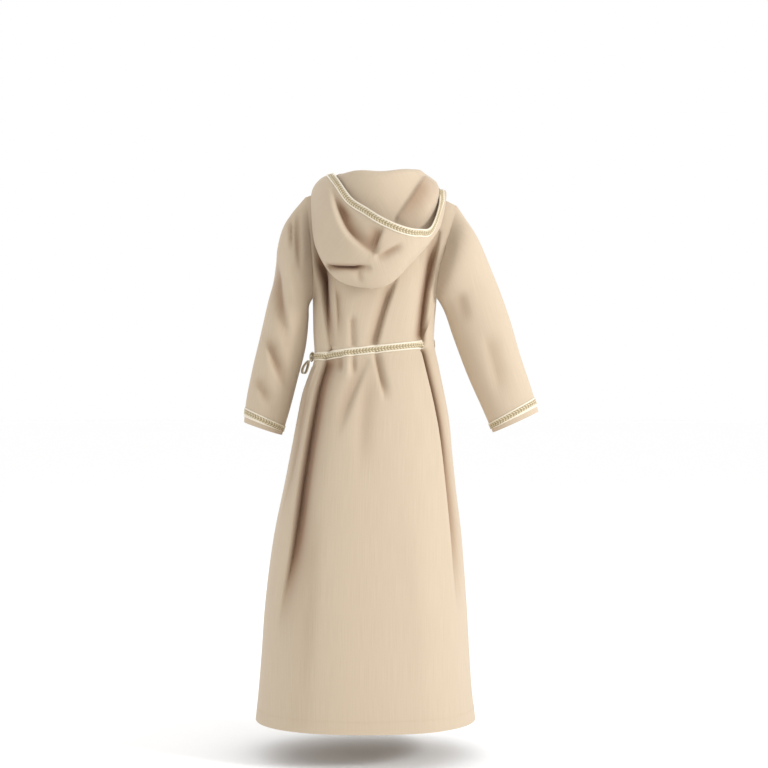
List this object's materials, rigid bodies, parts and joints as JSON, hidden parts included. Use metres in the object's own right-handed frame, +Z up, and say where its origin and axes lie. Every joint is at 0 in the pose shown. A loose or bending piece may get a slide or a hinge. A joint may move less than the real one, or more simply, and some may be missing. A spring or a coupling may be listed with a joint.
{
  "type": "djellaba robe",
  "caption": "Child's hooded djellaba in beige cloth with a gold braid tape on hood, cuffs and tie belt, in its worn form, hood down.",
  "frame": {"origin": "base of the neck between the shoulders, where the robe is carried", "axes": "+Z up, back of the robe towards +Y, wearer's left sleeve towards +X"},
  "size_m": [0.5498, 0.3435, 1.0072],
  "materials": {
    "beige_cloth": "matte woven cloth with a fine twill",
    "gold_braid": "woven braid of gold thread with satin edges"
  },
  "bodies": {
    "root": {"panel_back": "beige_cloth", "panel_front": "beige_cloth", "sleeve_left": "beige_cloth", "sleeve_right": "beige_cloth", "hood_left": "beige_cloth", "hood_right": "beige_cloth", "hood_trim_left": "gold_braid", "hood_trim_right": "gold_braid", "cuff_trim_left": "gold_braid", "cuff_trim_right": "gold_braid", "belt_back": "gold_braid", "belt_front": "gold_braid", "belt_knot": "gold_braid", "belt_bow_loop": "gold_braid", "belt_end_long": "gold_braid", "belt_end_short": "gold_braid"}
  },
  "joints": []
}
